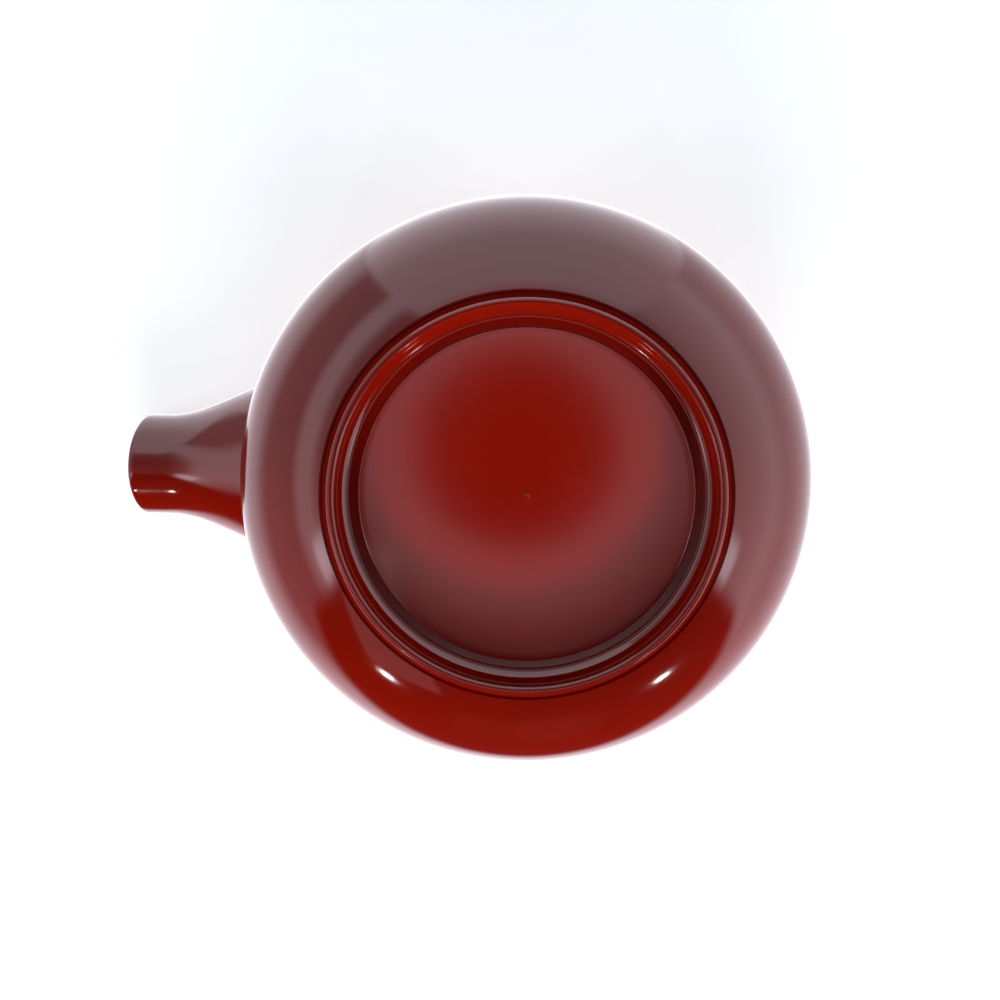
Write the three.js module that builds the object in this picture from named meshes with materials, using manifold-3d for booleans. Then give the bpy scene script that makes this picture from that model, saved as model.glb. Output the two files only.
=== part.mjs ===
// Spouted bowl in red lacquer, standing on its foot ring.
// Millimetres, +Z up. The table is at z = 0 and the spout points along -X.
import * as THREE from 'three';
import { mergeVertices } from 'three/addons/utils/BufferGeometryUtils.js';
import Module from 'manifold-3d';

const wasm = await Module();
wasm.setup();

// Bowl: an outer curve of two quarter ellipses that meet at the widest circle
const bellyRadius = 75;
const bellyHeight = 27;
const bellyCurveWidth = 31.8;
const lowerCurveHeight = 25.3;
const upperCurveHeight = 45;
const wallTopHeight = 60.6;
const wallThickness = 3;
const floorThickness = 3.2;

// Foot ring: a narrow rounded crest with a coved inner side
const footRadius = 50.9;
const footCrestWidth = 2.2;
const footCrestRound = 0.8;
const footDepth = 7;
const footFlankFlare = 1.1;
const footCoveWidth = 3.3;
const footCoveTop = 6.3;
const footStepHeight = 0.3;
const bowlLowerEdgeWidth = 0.6;
const bowlLowerEdgeRise = 0.5;

// Base disc inside the foot ring, domed toward the table
const discGrooveWidth = 2.3;
const discEdgeHeight = 5;
const discDome = 1.4;
const discEdgeRound = 0.6;
const gateMarkRadius = 0.8;
const gateMarkHeight = 0.6;

// Spout: an open trough whose end is cut on a slant, so that its lower lip leads
const spoutLength = 32.7;
const spoutLipLead = 4.8;
const spoutHalfWidth = 13.7;
const spoutDepth = 12.8;
const spoutWall = 2.4;
const spoutDropBelowRim = 0.6;
const spoutRise = 3.6;
const spoutLipRound = 0.8;
const flareLength = 36;
const flareDistanceFromTip = 10;
const flareExtraHalfWidth = 10.2;
const flareExtraDepth = 6;
const flareExtraWall = 2;

// Film of glue between seated pieces
const glueGap = 0.2;

// Fineness of the curves
const turnSegments = 80;
const mergeDistance = 1e-4;

const lacquerRed = 0x9c2412;
const quarterTurn = Math.PI / 2;

const coreRadius = bellyRadius - bellyCurveWidth;
const floorTop = footDepth + floorThickness;
const socketRadius = footRadius + footFlankFlare + glueGap;
const bowlLowerEdgeRadius = socketRadius + bowlLowerEdgeWidth;
const lowerAngle = -Math.acos((bowlLowerEdgeRadius - coreRadius) / bellyCurveWidth);
const upperAngle = Math.asin((wallTopHeight - bellyHeight) / upperCurveHeight);

// Turn a closed geometry into a solid whose faces look outward
function solidFrom(geometry) {
  geometry.deleteAttribute('normal');
  geometry.deleteAttribute('uv');
  const merged = mergeVertices(geometry, mergeDistance);
  const points = merged.attributes.position;
  const corner = [new THREE.Vector3(), new THREE.Vector3(), new THREE.Vector3()];
  const faces = [];
  let volume = 0;
  for (let start = 0; start < merged.index.count; start += 3) {
    const face = [0, 1, 2].map((step) => merged.index.getX(start + step));
    if (new Set(face).size < 3) continue;
    face.forEach((vertex, step) => corner[step].fromBufferAttribute(points, vertex));
    volume += corner[0].dot(corner[1].clone().cross(corner[2]));
    faces.push(face);
  }
  const outward = volume < 0 ? faces.map(([a, b, c]) => [a, c, b]) : faces;
  const mesh = new wasm.Mesh({
    numProp: 3,
    vertProperties: new Float32Array(points.array),
    triVerts: new Uint32Array(outward.flat()),
  });
  return new wasm.Manifold(mesh);
}

// Revolve a profile of [radius, height] pairs about the upright axis
function turned(profile) {
  const points = profile.map(([radius, height]) => new THREE.Vector2(radius, height));
  const geometry = new THREE.LatheGeometry(points, turnSegments);
  geometry.rotateX(quarterTurn);
  return solidFrom(geometry);
}

// Skin a row of rings with equal numbers of points, with a fan closing each end
function lofted(rings) {
  const count = rings[0].length;
  const positions = rings.flat().flatMap((point) => point.toArray());
  const faces = [];
  for (let ring = 0; ring < rings.length - 1; ring += 1) {
    for (let step = 0; step < count; step += 1) {
      const next = (step + 1) % count;
      const here = ring * count;
      const there = here + count;
      faces.push(here + step, there + step, there + next);
      faces.push(here + step, there + next, here + next);
    }
  }
  [0, rings.length - 1].forEach((ring) => {
    const middle = new THREE.Vector3();
    rings[ring].forEach((point) => middle.addScaledVector(point, 1 / count));
    const centre = positions.length / 3;
    positions.push(...middle.toArray());
    for (let step = 0; step < count; step += 1) {
      const first = ring * count + step;
      const second = ring * count + ((step + 1) % count);
      faces.push(...(ring === 0 ? [centre, first, second] : [centre, second, first]));
    }
  });
  const geometry = new THREE.BufferGeometry();
  geometry.setAttribute('position', new THREE.Float32BufferAttribute(positions, 3));
  geometry.setIndex(faces);
  return solidFrom(geometry);
}

// Evenly spaced values from one end to the other, both included
function spaced(from, to, steps) {
  return Array.from({ length: steps + 1 }, (_, step) => from + ((to - from) * step) / steps);
}

// Point of the bowl's section at an angle measured from the widest circle
function curvePoint(angle, width, lowerHeight, upperHeight) {
  const height = angle < 0 ? lowerHeight : upperHeight;
  return [coreRadius + width * Math.cos(angle), bellyHeight + height * Math.sin(angle)];
}

// Outside of the bowl from its lower edge to the top of the wall, grown by a margin
function outerCurve(margin) {
  const angles = [...spaced(lowerAngle, 0, 8), ...spaced(0, upperAngle, 7).slice(1)];
  const width = bellyCurveWidth + margin;
  return angles.map((angle) => curvePoint(
    angle, width, lowerCurveHeight + margin, upperCurveHeight + margin));
}

// Inside of the bowl from the top of the wall down to the level floor
function innerCurve() {
  const angles = [...spaced(upperAngle, 0, 6), ...spaced(0, -quarterTurn, 7).slice(1)];
  const width = bellyCurveWidth - wallThickness;
  return angles.map((angle) => curvePoint(
    angle, width, bellyHeight - floorTop, upperCurveHeight - wallThickness));
}

// Half round that joins the outside of the wall to its inside
function lipCurve(outerEnd, innerEnd) {
  const centre = [(outerEnd[0] + innerEnd[0]) / 2, (outerEnd[1] + innerEnd[1]) / 2];
  const across = [outerEnd[0] - centre[0], outerEnd[1] - centre[1]];
  const along = [-across[1], across[0]];
  return spaced(0, Math.PI, 5).slice(1, -1).map((angle) => [
    centre[0] + across[0] * Math.cos(angle) + along[0] * Math.sin(angle),
    centre[1] + across[1] * Math.cos(angle) + along[1] * Math.sin(angle),
  ]);
}

const outside = outerCurve(0);
const inside = innerCurve();
const lip = lipCurve(outside[outside.length - 1], inside[0]);
const bowlLowerEdge = outside[0][1];
const rimHeight = Math.max(...lip.map(([, height]) => height));

const bowlProfile = [
  [0, footDepth],
  [socketRadius, footDepth],
  [socketRadius, bowlLowerEdge + bowlLowerEdgeRise],
  ...outside,
  ...lip,
  ...inside,
  [0, floorTop],
];

// Foot ring, from its crest up the outer flank, into the socket and back down the cove
const crestInner = footRadius - footCrestWidth;
const footRootRadius = crestInner - footCoveWidth;
const spigotRadius = footRadius + footFlankFlare;
const spigotTop = footDepth - glueGap;
const crestOuterRound = spaced(0, quarterTurn, 3).map((angle) => [
  footRadius - footCrestRound * (1 - Math.sin(angle)),
  footCrestRound * (1 - Math.cos(angle)),
]);
const crestInnerRound = spaced(0, quarterTurn, 3).map((angle) => [
  crestInner + footCrestRound * (1 - Math.cos(angle)),
  footCrestRound * (1 - Math.sin(angle)),
]);
const cove = spaced(0, quarterTurn, 5).map((angle) => [
  footRootRadius + footCoveWidth * Math.sin(angle),
  footCoveTop - (footCoveTop - footCrestRound) * (1 - Math.cos(angle)),
]);
const footProfile = [
  ...crestOuterRound,
  [spigotRadius, bowlLowerEdge - footStepHeight],
  [spigotRadius, spigotTop],
  [footRootRadius, spigotTop],
  ...cove.slice(0, -1),
  ...crestInnerRound,
  crestOuterRound[0],
];

// Base disc, from the tip of the gate mark out over the dome and round the edge
const discRadius = footRootRadius - discGrooveWidth;
const domeRadius = discRadius - discEdgeRound;
function domeHeight(radius) {
  return discEdgeHeight - discDome * (1 - (radius / domeRadius) ** 2);
}
const gateBase = domeHeight(gateMarkRadius);
const discProfile = [
  [0, gateBase - gateMarkHeight],
  [gateMarkRadius / 2, gateBase - gateMarkHeight],
  ...spaced(gateMarkRadius, domeRadius, 5).map((radius) => [radius, domeHeight(radius)]),
  ...spaced(0, quarterTurn, 2).slice(1).map((angle) => [
    domeRadius + discEdgeRound * Math.sin(angle),
    discEdgeHeight + discEdgeRound * (1 - Math.cos(angle)),
  ]),
  [discRadius, spigotTop],
  [0, spigotTop],
];

// Spout: places along it are measured from the bowl's axis, or back from its slanted end
const tipTop = rimHeight - spoutDropBelowRim;
const tipReach = bellyRadius + spoutLength;
const cornerReach = tipReach - spoutLipLead;
const flareStart = tipReach - flareDistanceFromTip;

// Height of the spout's top edges, which rise evenly to the tip
function topAt(reach) {
  return tipTop - (spoutRise * (tipReach - reach)) / spoutLength;
}

function flareAt(reach) {
  const share = THREE.MathUtils.clamp((flareStart - reach) / flareLength, 0, 1);
  return (1 - Math.cos(Math.PI * share)) / 2;
}

// How far a rounded edge draws back at a distance from the end
function edgeEase(back) {
  const inside = THREE.MathUtils.clamp(spoutLipRound - back, 0, spoutLipRound);
  return spoutLipRound - Math.sqrt(spoutLipRound ** 2 - inside ** 2);
}

// Size of the trough's outside or of its channel at one point of the underside curve
function troughSize(back, depthShare, isChannel) {
  const leadShare = isChannel ? (spoutDepth - spoutWall) / spoutDepth : 1;
  const reach = cornerReach + spoutLipLead * depthShare * leadShare - back;
  const flare = flareAt(reach);
  const wall = isChannel ? spoutWall + flareExtraWall * flare - edgeEase(back) : edgeEase(back);
  return {
    reach,
    halfWidth: spoutHalfWidth + flareExtraHalfWidth * flare - wall,
    depth: spoutDepth + flareExtraDepth * flare - wall,
  };
}

// One ring across the spout: the underside curve between two rounded top edges
function troughRing(back, isChannel, openHeight) {
  const edgeSide = isChannel ? 1 : -1;
  const atTop = troughSize(back, 0, isChannel);
  const spoutTop = topAt(atTop.reach);
  const topEdge = spaced(0, quarterTurn, 3).slice(1).map((angle) => [
    atTop.halfWidth + edgeSide * spoutLipRound * (1 - Math.cos(angle)),
    spoutTop - spoutLipRound * (1 - Math.sin(angle)),
  ]);
  if (isChannel) topEdge.push([atTop.halfWidth + spoutLipRound, tipTop + openHeight]);
  const edgePoint = (side) => ([halfWidth, height]) => (
    new THREE.Vector3(-atTop.reach, side * halfWidth, height));
  const underside = spaced(0, Math.PI, 16).map((angle) => {
    const size = troughSize(back, Math.sin(angle), isChannel);
    const drop = (size.depth - spoutLipRound) * Math.sin(angle);
    const height = topAt(size.reach) - spoutLipRound - drop;
    return new THREE.Vector3(-size.reach, size.halfWidth * Math.cos(angle), height);
  });
  return [
    ...topEdge.map(edgePoint(1)).reverse(),
    ...underside,
    ...topEdge.map(edgePoint(-1)),
  ];
}

const rootDistance = tipReach - coreRadius;
const roundedEnd = [0, 0.1, 0.35, 1].map((share) => share * spoutLipRound);
const backDistances = [...roundedEnd, ...spaced(spoutLipRound, rootDistance, 13).slice(1)];
const channelPastEnd = 6;
const channelOpenHeight = 12;
const troughOutside = lofted(backDistances.map((back) => troughRing(back, false, 0)));
const channel = lofted([-channelPastEnd, ...backDistances].map(
  (back) => troughRing(back, true, channelOpenHeight)));

// The filled bowl with its glue film, which shapes the root of the spout
const filledOutside = outerCurve(glueGap);
const filledTop = rimHeight + channelOpenHeight;
const filledBowl = turned([
  [0, filledOutside[0][1]],
  ...filledOutside,
  [filledOutside[filledOutside.length - 1][0], filledTop],
  [0, filledTop],
]);

const bowl = turned(bowlProfile).subtract(channel);
const footRing = turned(footProfile);
const baseDisc = turned(discProfile);
const spout = troughOutside.subtract(channel).subtract(filledBowl);

function named(name, solid, roughness) {
  const { vertProperties, triVerts } = solid.getMesh();
  const geometry = new THREE.BufferGeometry();
  geometry.setAttribute('position', new THREE.BufferAttribute(vertProperties, 3));
  geometry.setIndex(new THREE.BufferAttribute(triVerts, 1));
  geometry.computeVertexNormals();
  const material = new THREE.MeshStandardMaterial({ color: lacquerRed, roughness, metalness: 0 });
  const mesh = new THREE.Mesh(geometry, material);
  mesh.name = name;
  return mesh;
}

const group = new THREE.Group();
group.name = 'spouted_bowl';
group.add(named('bowl', bowl, 0.12));
group.add(named('foot_ring', footRing, 0.12));
group.add(named('base_disc', baseDisc, 0.16));
group.add(named('spout', spout, 0.14));

// The middle of the overall length stands over the origin
group.position.x = (tipReach - bellyRadius) / 2;

export default group;
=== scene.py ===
"""Spouted bowl in red lacquer, looked at from below, as when it lies upside down on a white table."""

import math

import bmesh
import bpy
from mathutils import Matrix, Vector


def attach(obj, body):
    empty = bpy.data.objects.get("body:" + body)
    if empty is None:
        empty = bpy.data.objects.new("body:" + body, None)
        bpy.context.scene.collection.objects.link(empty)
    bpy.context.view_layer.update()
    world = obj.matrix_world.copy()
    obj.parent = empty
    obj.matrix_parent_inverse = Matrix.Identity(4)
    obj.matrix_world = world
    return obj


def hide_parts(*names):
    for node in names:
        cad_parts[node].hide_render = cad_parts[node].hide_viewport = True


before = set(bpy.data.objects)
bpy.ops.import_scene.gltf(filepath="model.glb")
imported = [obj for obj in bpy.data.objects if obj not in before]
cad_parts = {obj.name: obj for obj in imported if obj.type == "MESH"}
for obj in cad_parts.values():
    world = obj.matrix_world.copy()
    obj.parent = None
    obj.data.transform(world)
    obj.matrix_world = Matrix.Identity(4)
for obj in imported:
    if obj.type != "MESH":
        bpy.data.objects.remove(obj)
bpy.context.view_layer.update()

MM = 0.001
QUARTER = math.pi / 2

# Bowl
BELLY_RADIUS = 75.0
BELLY_HEIGHT = 27.0
BELLY_CURVE_WIDTH = 31.8
LOWER_CURVE_HEIGHT = 25.3
UPPER_CURVE_HEIGHT = 45.0
WALL_TOP_HEIGHT = 60.6
WALL = 3.0
FLOOR_THICKNESS = 3.2

# Foot ring
FOOT_RADIUS = 50.9
FOOT_CREST_WIDTH = 2.2
FOOT_CREST_ROUND = 0.8
FOOT_DEPTH = 7.0
FOOT_FLANK_FLARE = 1.1
FOOT_COVE_WIDTH = 3.3
FOOT_COVE_TOP = 6.3
FOOT_STEP_HEIGHT = 0.3
BOWL_LOWER_EDGE_WIDTH = 0.6
BOWL_LOWER_EDGE_RISE = 0.5

# Base disc
DISC_GROOVE_WIDTH = 2.3
DISC_EDGE_HEIGHT = 5.0
DISC_DOME = 1.4
DISC_EDGE_ROUND = 0.6
GATE_MARK_RADIUS = 0.8
GATE_MARK_HEIGHT = 0.6

# Spout
SPOUT_LENGTH = 32.7
SPOUT_LIP_LEAD = 4.8
SPOUT_HALF_WIDTH = 13.7
SPOUT_DEPTH = 12.8
SPOUT_WALL = 2.4
SPOUT_DROP = 0.6
SPOUT_RISE = 3.6
SPOUT_LIP_ROUND = 0.8
FLARE_LENGTH = 36.0
FLARE_FROM_TIP = 10.0
FLARE_HALF_WIDTH = 10.2
FLARE_DEPTH = 6.0
FLARE_WALL = 2.0

# Margin of the bowl's outer curve that trims the spout's root: below zero the root is bedded in the wall
SPOUT_BEDDING = -0.3
GLUE_GAP = 0.2

# How far the channel's cutter runs past the spout's end and above its tip
CHANNEL_PAST_END = 6.0
CHANNEL_OPEN_HEIGHT = 12.0

# Fineness of the meshes
TURN_SEGMENTS = 192
SPOUT_STEPS_ROUND = 56
SPOUT_STEPS_ALONG = 64

CORE_RADIUS = BELLY_RADIUS - BELLY_CURVE_WIDTH
FLOOR_TOP = FOOT_DEPTH + FLOOR_THICKNESS
SPIGOT_RADIUS = FOOT_RADIUS + FOOT_FLANK_FLARE
SOCKET_RADIUS = SPIGOT_RADIUS + GLUE_GAP
LOWER_ANGLE = -math.acos((SOCKET_RADIUS + BOWL_LOWER_EDGE_WIDTH - CORE_RADIUS) / BELLY_CURVE_WIDTH)
UPPER_ANGLE = math.asin((WALL_TOP_HEIGHT - BELLY_HEIGHT) / UPPER_CURVE_HEIGHT)
TIP_REACH = BELLY_RADIUS + SPOUT_LENGTH
CORNER_REACH = TIP_REACH - SPOUT_LIP_LEAD
AXIS_X = (TIP_REACH - BELLY_RADIUS) / 2


def spaced(start, end, steps):
    return [start + (end - start) * step / steps for step in range(steps + 1)]


def mesh_piece(name, points, faces, sharp_angle=40.0):
    """Object from points in millimetres about the bowl's axis, with smooth faces that look outward."""
    mesh = bpy.data.meshes.new(name)
    mesh.from_pydata([((x + AXIS_X) * MM, y * MM, z * MM) for x, y, z in points], [], faces)
    work = bmesh.new()
    work.from_mesh(mesh)
    bmesh.ops.recalc_face_normals(work, faces=work.faces)
    work.to_mesh(mesh)
    work.free()
    piece = bpy.data.objects.new(name, mesh)
    bpy.context.collection.objects.link(piece)
    smooth(piece, sharp_angle)
    return piece


def smooth(piece, sharp_angle=40.0):
    mesh = piece.data
    mesh.polygons.foreach_set("use_smooth", [True] * len(mesh.polygons))
    mesh.set_sharp_from_angle(angle=math.radians(sharp_angle))


def turned(name, profile):
    """Revolve a profile of (radius, height); its ends lie on the axis, or it closes on itself."""
    points = []
    rows = []
    for radius, height in profile:
        if radius < 1e-6:
            rows.append([len(points)])
            points.append((0.0, 0.0, height))
            continue
        rows.append(list(range(len(points), len(points) + TURN_SEGMENTS)))
        for step in range(TURN_SEGMENTS):
            angle = 2 * math.pi * step / TURN_SEGMENTS
            points.append((radius * math.cos(angle), radius * math.sin(angle), height))
    if len(rows[0]) > 1:
        rows.append(rows[0])
    faces = []
    for low, high in zip(rows, rows[1:]):
        for step in range(TURN_SEGMENTS):
            after = (step + 1) % TURN_SEGMENTS
            if len(low) == 1:
                faces.append((low[0], high[after], high[step]))
            elif len(high) == 1:
                faces.append((low[step], low[after], high[0]))
            else:
                faces.append((low[step], low[after], high[after], high[step]))
    return mesh_piece(name, points, faces)


def lofted(name, rings):
    """Skin a row of rings that have the same number of points, closed at both ends."""
    count = len(rings[0])
    points = [point for ring in rings for point in ring]
    faces = []
    for ring in range(len(rings) - 1):
        here, there = ring * count, (ring + 1) * count
        for step in range(count):
            after = (step + 1) % count
            faces.append((here + step, there + step, there + after, here + after))
    faces.append(tuple(range(count)))
    faces.append(tuple(range(len(points) - count, len(points))))
    return mesh_piece(name, points, faces)


def cut(piece, *cutters):
    """Take the cutters out of the piece and keep the result as its mesh."""
    for cutter in cutters:
        modifier = piece.modifiers.new("cut", "BOOLEAN")
        modifier.operation = "DIFFERENCE"
        modifier.solver = "EXACT"
        modifier.object = cutter
    settled = piece.evaluated_get(bpy.context.evaluated_depsgraph_get())
    mesh = bpy.data.meshes.new_from_object(settled)
    piece.modifiers.clear()
    piece.data = mesh
    smooth(piece)


# Section of the bowl

def curve_point(angle, width, lower_height, upper_height):
    height = lower_height if angle < 0 else upper_height
    return (CORE_RADIUS + width * math.cos(angle), BELLY_HEIGHT + height * math.sin(angle))


def outer_curve(margin):
    angles = spaced(LOWER_ANGLE, 0, 40) + spaced(0, UPPER_ANGLE, 30)[1:]
    return [curve_point(angle, BELLY_CURVE_WIDTH + margin, LOWER_CURVE_HEIGHT + margin,
                        UPPER_CURVE_HEIGHT + margin) for angle in angles]


def inner_curve():
    angles = spaced(UPPER_ANGLE, 0, 24) + spaced(0, -QUARTER, 30)[1:]
    return [curve_point(angle, BELLY_CURVE_WIDTH - WALL, BELLY_HEIGHT - FLOOR_TOP,
                        UPPER_CURVE_HEIGHT - WALL) for angle in angles]


def lip_curve(outer_end, inner_end):
    centre = [(a + b) / 2 for a, b in zip(outer_end, inner_end)]
    across = [outer_end[0] - centre[0], outer_end[1] - centre[1]]
    along = [-across[1], across[0]]
    return [tuple(centre[k] + across[k] * math.cos(angle) + along[k] * math.sin(angle)
                  for k in range(2)) for angle in spaced(0, math.pi, 10)[1:-1]]


outside = outer_curve(0)
inside = inner_curve()
lip = lip_curve(outside[-1], inside[0])
bowl_lower_edge = outside[0][1]
rim_height = max(height for _, height in lip)
bowl_profile = [(0, FOOT_DEPTH), (SOCKET_RADIUS, FOOT_DEPTH),
                (SOCKET_RADIUS, bowl_lower_edge + BOWL_LOWER_EDGE_RISE),
                *outside, *lip, *inside, (0, FLOOR_TOP)]

# Section of the foot ring

crest_inner = FOOT_RADIUS - FOOT_CREST_WIDTH
foot_root = crest_inner - FOOT_COVE_WIDTH
spigot_top = FOOT_DEPTH - GLUE_GAP
crest_outer_round = [(FOOT_RADIUS - FOOT_CREST_ROUND * (1 - math.sin(angle)),
                      FOOT_CREST_ROUND * (1 - math.cos(angle))) for angle in spaced(0, QUARTER, 8)]
crest_inner_round = [(crest_inner + FOOT_CREST_ROUND * (1 - math.cos(angle)),
                      FOOT_CREST_ROUND * (1 - math.sin(angle))) for angle in spaced(0, QUARTER, 8)]
cove = [(foot_root + FOOT_COVE_WIDTH * math.sin(angle),
         FOOT_COVE_TOP - (FOOT_COVE_TOP - FOOT_CREST_ROUND) * (1 - math.cos(angle)))
        for angle in spaced(0, QUARTER, 16)]
foot_profile = [*crest_outer_round, (SPIGOT_RADIUS, bowl_lower_edge - FOOT_STEP_HEIGHT),
                (SPIGOT_RADIUS, spigot_top), (foot_root, spigot_top), *cove[:-1],
                *crest_inner_round]

# Section of the base disc

disc_radius = foot_root - DISC_GROOVE_WIDTH
dome_radius = disc_radius - DISC_EDGE_ROUND


def dome_height(radius):
    return DISC_EDGE_HEIGHT - DISC_DOME * (1 - (radius / dome_radius) ** 2)


gate_tip = dome_height(GATE_MARK_RADIUS) - GATE_MARK_HEIGHT
disc_profile = [(0, gate_tip), (GATE_MARK_RADIUS / 2, gate_tip),
                *[(radius, dome_height(radius))
                  for radius in spaced(GATE_MARK_RADIUS, dome_radius, 24)],
                *[(dome_radius + DISC_EDGE_ROUND * math.sin(angle),
                   DISC_EDGE_HEIGHT + DISC_EDGE_ROUND * (1 - math.cos(angle)))
                  for angle in spaced(0, QUARTER, 6)[1:]],
                (disc_radius, spigot_top), (0, spigot_top)]

# Shape of the spout

tip_top = rim_height - SPOUT_DROP


def top_at(reach):
    """Height of the spout's top edges, which rise evenly to the tip."""
    return tip_top - SPOUT_RISE * (TIP_REACH - reach) / SPOUT_LENGTH


def flare_at(reach):
    share = min(max((TIP_REACH - FLARE_FROM_TIP - reach) / FLARE_LENGTH, 0), 1)
    return (1 - math.cos(math.pi * share)) / 2


def edge_ease(back):
    within = min(max(SPOUT_LIP_ROUND - back, 0), SPOUT_LIP_ROUND)
    return SPOUT_LIP_ROUND - math.sqrt(SPOUT_LIP_ROUND ** 2 - within ** 2)


def trough_size(back, depth_share, is_channel):
    lead_share = (SPOUT_DEPTH - SPOUT_WALL) / SPOUT_DEPTH if is_channel else 1
    reach = CORNER_REACH + SPOUT_LIP_LEAD * depth_share * lead_share - back
    flare = flare_at(reach)
    wall = SPOUT_WALL + FLARE_WALL * flare - edge_ease(back) if is_channel else edge_ease(back)
    return (reach, SPOUT_HALF_WIDTH + FLARE_HALF_WIDTH * flare - wall,
            SPOUT_DEPTH + FLARE_DEPTH * flare - wall)


def trough_ring(back, is_channel, open_height):
    """Ring across the spout: the underside curve between two rounded top edges."""
    side_step = 1 if is_channel else -1
    reach, half_width, _ = trough_size(back, 0, is_channel)
    spout_top = top_at(reach)
    edge = [(half_width + side_step * SPOUT_LIP_ROUND * (1 - math.cos(angle)),
             spout_top - SPOUT_LIP_ROUND * (1 - math.sin(angle)))
            for angle in spaced(0, QUARTER, 6)[1:]]
    if is_channel:
        edge.append((half_width + SPOUT_LIP_ROUND, tip_top + open_height))
    ring = [(-reach, across, height) for across, height in reversed(edge)]
    for angle in spaced(0, math.pi, SPOUT_STEPS_ROUND):
        at, wide, deep = trough_size(back, math.sin(angle), is_channel)
        drop = (deep - SPOUT_LIP_ROUND) * math.sin(angle)
        ring.append((-at, wide * math.cos(angle), top_at(at) - SPOUT_LIP_ROUND - drop))
    ring += [(-reach, -across, height) for across, height in edge]
    return ring


root_distance = TIP_REACH - CORE_RADIUS
back_distances = [SPOUT_LIP_ROUND * (step / 6) ** 2 for step in range(6)]
back_distances += spaced(SPOUT_LIP_ROUND, root_distance, SPOUT_STEPS_ALONG)

# Pieces

trough = lofted("spout_lacquered", [trough_ring(back, False, 0) for back in back_distances])
channel = lofted("channel", [trough_ring(back, True, CHANNEL_OPEN_HEIGHT)
                             for back in [-CHANNEL_PAST_END, *back_distances]])
bedding = outer_curve(SPOUT_BEDDING)
filled_top = rim_height + CHANNEL_OPEN_HEIGHT
filled_bowl = turned("filled_bowl", [(0, bedding[0][1]), *bedding,
                                     (bedding[-1][0], filled_top), (0, filled_top)])
bowl = turned("bowl_lacquered", bowl_profile)
foot_ring = turned("foot_ring_lacquered", foot_profile)
base_disc = turned("base_disc_lacquered", disc_profile)
cut(bowl, channel)
cut(trough, channel, filled_bowl)
for cutter in (channel, filled_bowl):
    bpy.data.objects.remove(cutter)

# Lacquer

DARKER_RED = (0.205, 0.0044, 0.0008, 1)
LIGHTER_RED = (0.230, 0.0056, 0.0011, 1)
ROUGHNESS_DRIFT = 0.15


def lacquer(name, roughness):
    """Deep red lacquer with slight drifts of colour and gloss and a faint unevenness."""
    material = bpy.data.materials.new(name)
    material.use_nodes = True
    nodes, links = material.node_tree.nodes, material.node_tree.links
    shader = nodes["Principled BSDF"]
    place = nodes.new("ShaderNodeTexCoord")

    drift = nodes.new("ShaderNodeTexNoise")
    drift.inputs["Scale"].default_value = 28
    drift.inputs["Detail"].default_value = 3
    links.new(place.outputs["Object"], drift.inputs["Vector"])
    colours = nodes.new("ShaderNodeValToRGB")
    colours.color_ramp.elements[0].position = 0.3
    colours.color_ramp.elements[0].color = DARKER_RED
    colours.color_ramp.elements[1].position = 0.7
    colours.color_ramp.elements[1].color = LIGHTER_RED
    links.new(drift.outputs["Fac"], colours.inputs["Fac"])
    links.new(colours.outputs["Color"], shader.inputs["Base Color"])

    gloss = nodes.new("ShaderNodeMapRange")
    gloss.inputs["To Min"].default_value = roughness * (1 - ROUGHNESS_DRIFT)
    gloss.inputs["To Max"].default_value = roughness * (1 + ROUGHNESS_DRIFT)
    links.new(drift.outputs["Fac"], gloss.inputs["Value"])
    links.new(gloss.outputs["Result"], shader.inputs["Roughness"])
    shader.inputs["IOR"].default_value = 1.5

    waviness = nodes.new("ShaderNodeTexNoise")
    waviness.inputs["Scale"].default_value = 160
    waviness.inputs["Detail"].default_value = 1
    links.new(place.outputs["Object"], waviness.inputs["Vector"])
    bump = nodes.new("ShaderNodeBump")
    bump.inputs["Strength"].default_value = 0.25
    bump.inputs["Distance"].default_value = 0.00003
    links.new(waviness.outputs["Fac"], bump.inputs["Height"])
    links.new(bump.outputs["Normal"], shader.inputs["Normal"])
    return material


for piece, node, roughness in ((bowl, "bowl", 0.09), (foot_ring, "foot_ring", 0.09),
                               (base_disc, "base_disc", 0.12), (trough, "spout", 0.11)):
    piece.data.materials.clear()
    piece.data.materials.append(lacquer(f"lacquer_{node}", roughness))
    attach(piece, "root")
    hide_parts(node)

# Table: the bowl's rim lies on it. Only a camera below its plane sees it.

TABLE_HALF_SIZE = 1.5
TABLE_GAP = 0.0002
TABLE_FILL = 0.69
table_mesh = bpy.data.meshes.new("table")
table_level = rim_height * MM + TABLE_GAP
table_mesh.from_pydata(
    [(x * TABLE_HALF_SIZE, y * TABLE_HALF_SIZE, table_level)
     for x, y in ((-1, -1), (-1, 1), (1, 1), (1, -1))], [], [(0, 1, 2, 3)])
table = bpy.data.objects.new("table", table_mesh)
bpy.context.collection.objects.link(table)
paper = bpy.data.materials.new("table_paper")
paper.use_nodes = True
nodes, links = paper.node_tree.nodes, paper.node_tree.links
nodes.clear()
output = nodes.new("ShaderNodeOutputMaterial")
clear = nodes.new("ShaderNodeBsdfTransparent")
matte = nodes.new("ShaderNodeBsdfDiffuse")
matte.inputs["Color"].default_value = (0.85, 0.88, 0.90, 1)
fill = nodes.new("ShaderNodeEmission")
fill.inputs["Color"].default_value = (0.92, 0.98, 1, 1)
fill.inputs["Strength"].default_value = TABLE_FILL
lit = nodes.new("ShaderNodeAddShader")
links.new(matte.outputs[0], lit.inputs[0])
links.new(fill.outputs[0], lit.inputs[1])
ray = nodes.new("ShaderNodeLightPath")
side = nodes.new("ShaderNodeNewGeometry")
front = nodes.new("ShaderNodeMath")
front.operation = "SUBTRACT"
links.new(ray.outputs["Is Camera Ray"], front.inputs[0])
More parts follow.
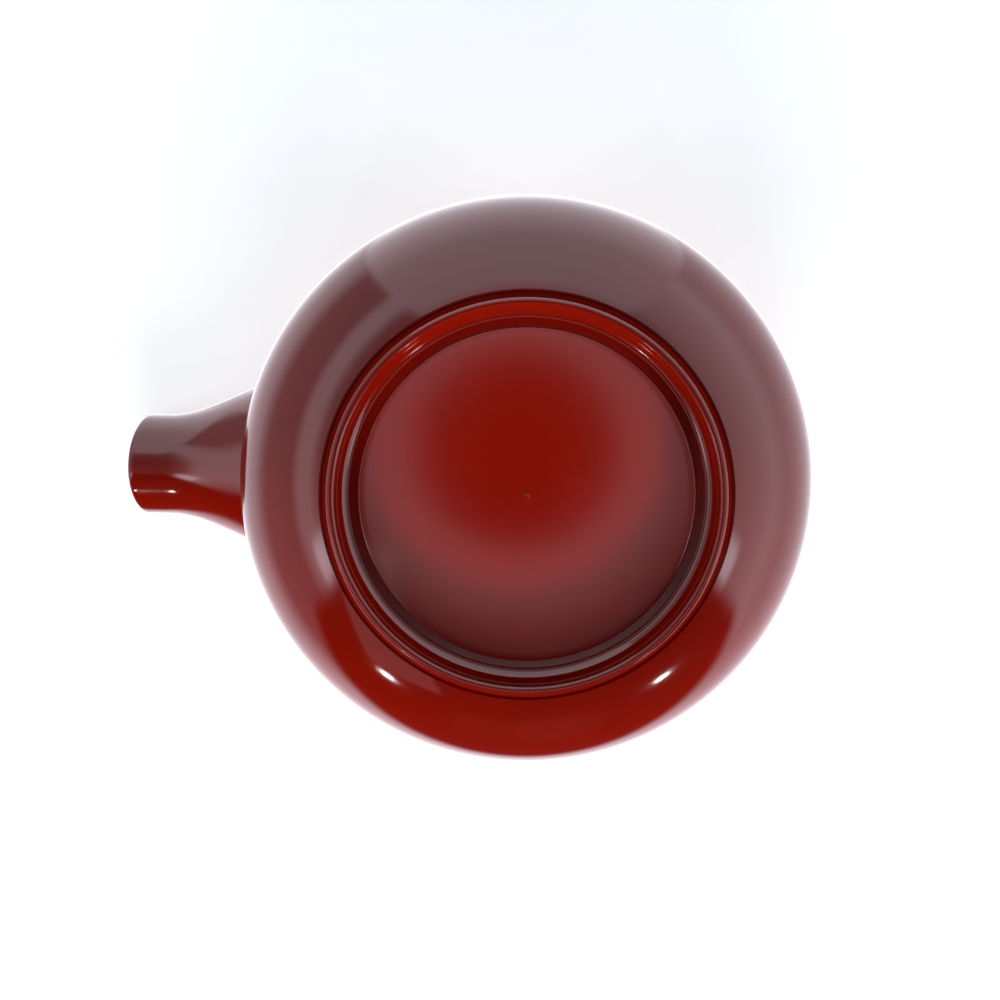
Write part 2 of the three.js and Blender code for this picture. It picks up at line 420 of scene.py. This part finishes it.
links.new(side.outputs["Backfacing"], front.inputs[1])
front.use_clamp = True
choice = nodes.new("ShaderNodeMixShader")
links.new(front.outputs[0], choice.inputs[0])
links.new(clear.outputs[0], choice.inputs[1])
links.new(lit.outputs[0], choice.inputs[2])
links.new(choice.outputs[0], output.inputs["Surface"])
table_mesh.materials.append(paper)

# Surroundings: a tent that is open toward +Y, described by direction

HOLE_TILT = math.radians(6.2)
END_PATCH_BRIGHTNESS = 4.0
COLLAR_BRIGHTNESS = 1.15
ARCH_NARROWING = 1.16
OPENING_DARKNESS = 0.98

# Share of the tent's brightness that lights the matte part of a surface; its gloss shows the whole
AMBIENT_SHARE = 0.145

world = bpy.data.worlds.new("tent")
bpy.context.scene.world = world
world.use_nodes = True
nodes, links = world.node_tree.nodes, world.node_tree.links
nodes.clear()


def computed(operation, *values):
    node = nodes.new("ShaderNodeMath")
    node.operation = operation
    for slot, value in enumerate(values):
        if isinstance(value, (int, float)):
            node.inputs[slot].default_value = value
        else:
            links.new(value, node.inputs[slot])
    return node.outputs[0]


def risen(angle, low, high):
    """0 below one angle in degrees, 1 above another, and smooth between them."""
    node = nodes.new("ShaderNodeMapRange")
    node.interpolation_type = "SMOOTHSTEP"
    node.inputs["From Min"].default_value = math.radians(low)
    node.inputs["From Max"].default_value = math.radians(high)
    links.new(angle, node.inputs["Value"])
    return node.outputs["Result"]


def fallen(angle, low, high):
    return computed("SUBTRACT", 1.0, risen(angle, low, high))


def within(angle, low, high, soft):
    return computed("MULTIPLY", risen(angle, low - soft, low + soft),
                    fallen(angle, high - soft, high + soft))


def brightness_by_angle(angle, stops):
    """Brightness between stops of (degrees, value)."""
    node = nodes.new("ShaderNodeValToRGB")
    ramp = node.color_ramp
    while len(ramp.elements) < len(stops):
        ramp.elements.new(0.5)
    for element, (degrees, value) in zip(ramp.elements, stops):
        element.position = degrees / 180
        element.color = (value, value, value, 1)
    links.new(computed("DIVIDE", angle, math.pi), node.inputs["Fac"])
    return node.outputs["Color"]


def blended(first, second, share):
    return computed("ADD", computed("MULTIPLY", first, computed("SUBTRACT", 1.0, share)),
                    computed("MULTIPLY", second, share))


direction = nodes.new("ShaderNodeTexCoord")
parts = nodes.new("ShaderNodeSeparateXYZ")
links.new(direction.outputs["Generated"], parts.inputs[0])
east, south, up = parts.outputs
polar = computed("ARCCOSINE", computed("MULTIPLY", up, -1.0))
turn_from_south = computed("ARCTAN2", east, south)
around = computed("ABSOLUTE", turn_from_south)
from_hole = computed("ARCCOSINE", computed(
    "ADD", computed("MULTIPLY", south, math.sin(HOLE_TILT)),
    computed("MULTIPLY", up, -math.cos(HOLE_TILT))))
west_wall = brightness_by_angle(polar, [(0, 0.15), (24, 0.3), (34, 0.8), (41, 2.1), (50, 2.1),
                                        (58, 0.8), (88, 0.8), (106, 2.1), (180, 2.4)])
east_wall = brightness_by_angle(polar, [(0, 0.15), (24, 0.4), (32, 1.4), (48, 1.9), (70, 2.6),
                                        (88, 1.8), (104, 1.9), (180, 2.4)])
back_wall = brightness_by_angle(polar, [(0, 0.15), (20, 0.6), (30, 2.0), (50, 2.2), (75, 2.3),
                                        (90, 2.8), (108, 3.1), (180, 3.0)])
tent = blended(west_wall, east_wall, risen(turn_from_south, -2, 2))
tent = blended(tent, back_wall, risen(around, 139, 141))
end_patch = computed("MULTIPLY", within(around, 52, 64, 3), within(polar, 33, 46, 3))
tent = computed("ADD", tent, computed("MULTIPLY", end_patch, END_PATCH_BRIGHTNESS))
collar = within(from_hole, 7, 12, 0.8)
tent = computed("MAXIMUM", tent, computed("MULTIPLY", collar, COLLAR_BRIGHTNESS))
arch = computed("ADD", polar, computed("MULTIPLY", computed("POWER", around, 2.0), ARCH_NARROWING))
opening = computed("MULTIPLY", fallen(around, 50, 56),
                   computed("MULTIPLY", risen(polar, 18, 26), fallen(arch, 119, 133)))
left_by_opening = computed("SUBTRACT", 1.0, computed("MULTIPLY", opening, OPENING_DARKNESS))
tent = computed("MULTIPLY", tent, left_by_opening)
tent = computed("MULTIPLY", tent, risen(from_hole, 6, 7.5))
tinted = nodes.new("ShaderNodeMix")
tinted.data_type = "RGBA"
tinted.blend_type = "MULTIPLY"
tinted.inputs["Factor"].default_value = 1.0
links.new(tent, tinted.inputs["A"])
tinted.inputs["B"].default_value = (0.98, 0.97, 1.06, 1)
mirrored = nodes.new("ShaderNodeBackground")
links.new(tinted.outputs["Result"], mirrored.inputs["Color"])
ambient = nodes.new("ShaderNodeBackground")
links.new(tinted.outputs["Result"], ambient.inputs["Color"])
ambient.inputs["Strength"].default_value = AMBIENT_SHARE
white = nodes.new("ShaderNodeBackground")
white.inputs["Color"].default_value = (1, 1, 1, 1)
ray = nodes.new("ShaderNodeLightPath")
by_gloss = nodes.new("ShaderNodeMixShader")
links.new(ray.outputs["Is Glossy Ray"], by_gloss.inputs[0])
links.new(ambient.outputs[0], by_gloss.inputs[1])
links.new(mirrored.outputs[0], by_gloss.inputs[2])
by_camera = nodes.new("ShaderNodeMixShader")
links.new(ray.outputs["Is Camera Ray"], by_camera.inputs[0])
links.new(by_gloss.outputs[0], by_camera.inputs[1])
links.new(white.outputs[0], by_camera.inputs[2])
output = nodes.new("ShaderNodeOutputWorld")
links.new(by_camera.outputs[0], output.inputs["Surface"])

# Lamps, each placed by the angle from straight below and the angle round from +Y

bowl_middle = Vector((AXIS_X * MM, 0, BELLY_HEIGHT * MM))


def toward_lamp(polar_degrees, around_degrees):
    tilt, turn = math.radians(polar_degrees), math.radians(around_degrees)
    return Vector((math.sin(turn) * math.sin(tilt), math.cos(turn) * math.sin(tilt),
                   -math.cos(tilt)))


def add_lamp(name, kind, power, polar_degrees, around_degrees, distance, size,
             aim=bowl_middle, mirrored_in_gloss=True):
    light = bpy.data.lights.new(name, kind)
    light.energy = power
    if kind == "AREA":
        light.size = size
    else:
        light.shadow_soft_size = size
    lamp = bpy.data.objects.new(name, light)
    toward = toward_lamp(polar_degrees, around_degrees)
    lamp.location = aim + toward * distance
    lamp.rotation_euler = toward.to_track_quat("Z", "Y").to_euler()
    lamp.visible_glossy = mirrored_in_gloss
    lamp.visible_camera = False
    bpy.context.collection.objects.link(lamp)
    return light


for side_sign in (-1, 1):
    add_lamp("room_lamp", "AREA", 0.45, 62, 31 * side_sign, 1.0, 0.05)
    add_lamp("side_lamp", "AREA", 3.9, 80, 80 * side_sign, 1.0, 0.4, mirrored_in_gloss=False)
add_lamp("low_lamp", "AREA", 10.0, 78, 0, 1.0, 0.5, mirrored_in_gloss=False)
pool_centre = Vector((13.5 * MM, -14 * MM, FOOT_DEPTH * MM))
pool = add_lamp("lamp_through_hole", "SPOT", 6.8, 4, 0, 0.6, 0.004, pool_centre, False)
pool.spot_size = math.radians(8.0)
pool.spot_blend = 0.35
spout_middle = Vector((-75 * MM, 0, 50 * MM))
panel = add_lamp("panel_by_spout", "AREA", 0.016, 32, 0, 0.2, 0.07, spout_middle)
panel.shape = "RECTANGLE"
panel.size_y = 0.13

# Camera: almost straight up at the underside

CAMERA_TILT = math.radians(9.6)
CAMERA_DISTANCE = 0.65
PHOTO_MM_PER_PIXEL = 0.2626
PHOTO_PIXELS = 1000
BOWL_AT_PIXEL = (526, 482)
SENSOR_MM = 36.0
aim_left = (BOWL_AT_PIXEL[0] - PHOTO_PIXELS / 2) * PHOTO_MM_PER_PIXEL * MM
aim_down = (PHOTO_PIXELS / 2 - BOWL_AT_PIXEL[1]) * PHOTO_MM_PER_PIXEL * MM
looking = Vector((0, math.sin(CAMERA_TILT), math.cos(CAMERA_TILT)))
image_down = Vector((0, math.cos(CAMERA_TILT), -math.sin(CAMERA_TILT)))
aim = bowl_middle + Vector((-aim_left, 0, 0)) + image_down * aim_down
camera_data = bpy.data.cameras.new("camera")
camera_data.sensor_width = SENSOR_MM
camera_data.lens = SENSOR_MM * CAMERA_DISTANCE / (PHOTO_MM_PER_PIXEL * MM * PHOTO_PIXELS)
camera = bpy.data.objects.new("camera", camera_data)
camera.location = aim - looking * CAMERA_DISTANCE
image_right = Vector((1, 0, 0))
turn = Matrix((image_right, -image_down, -looking)).transposed()
camera.rotation_euler = turn.to_euler()
bpy.context.collection.objects.link(camera)
bpy.context.scene.camera = camera
bpy.context.scene.view_settings.view_transform = "Standard"
